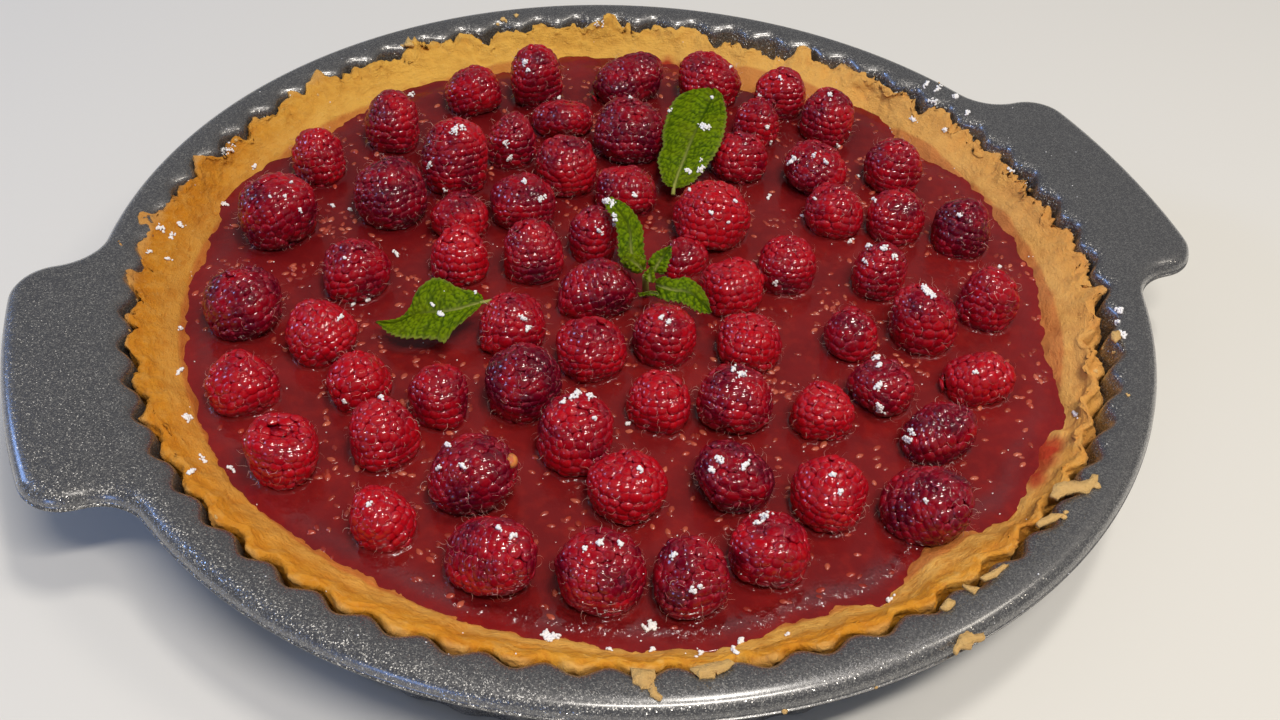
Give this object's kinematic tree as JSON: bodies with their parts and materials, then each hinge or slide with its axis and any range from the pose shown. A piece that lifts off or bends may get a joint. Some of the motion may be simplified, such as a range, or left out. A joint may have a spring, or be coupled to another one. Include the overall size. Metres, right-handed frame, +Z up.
{
  "type": "fruit tart in its fluted tin",
  "caption": "Round shortcrust tart filled with berry jam and topped with whole berries and mint, in its fluted baking tin with two wing handles.",
  "frame": {"origin": "centre of the tin's flat underside, on the surface it stands on", "axes": "+X along the two wing handles, +Z up; +Y completes the frame"},
  "size_m": [0.34, 0.3, 0.0458],
  "materials": {
    "tin": "dark grey non-stick coating with a fine bright fleck, satin",
    "crust": "golden baked shortcrust, matt and flaky",
    "jam": "deep red set jam with seeds, glossy",
    "berry": "wet red berry skin, semi-gloss",
    "mint": "fresh green leaf, satin"
  },
  "bodies": {
    "root": {"tin": "tin", "crust": "crust", "filling": "jam", "berry_01": "berry", "berry_02": "berry", "berry_03": "berry", "berry_04": "berry", "berry_05": "berry", "berry_06": "berry", "berry_07": "berry", "berry_08": "berry", "berry_09": "berry", "berry_10": "berry", "berry_11": "berry", "berry_12": "berry", "berry_13": "berry", "berry_14": "berry", "berry_15": "berry", "berry_16": "berry", "berry_17": "berry", "berry_18": "berry", "berry_19": "berry", "berry_20": "berry", "berry_21": "berry", "berry_22": "berry", "berry_23": "berry", "berry_24": "berry", "berry_25": "berry", "berry_26": "berry", "berry_27": "berry", "berry_28": "berry", "berry_29": "berry", "berry_30": "berry", "berry_31": "berry", "berry_32": "berry", "berry_33": "berry", "berry_34": "berry", "berry_35": "berry", "berry_36": "berry", "berry_37": "berry", "berry_38": "berry", "berry_39": "berry", "berry_40": "berry", "berry_41": "berry", "berry_42": "berry", "berry_43": "berry", "berry_44": "berry", "berry_45": "berry", "berry_46": "berry", "berry_47": "berry", "berry_48": "berry", "berry_49": "berry", "berry_50": "berry", "berry_51": "berry", "berry_52": "berry", "berry_53": "berry", "berry_54": "berry", "mint_back": "mint", "mint_left": "mint", "mint_sprig": "mint"}
  },
  "joints": []
}
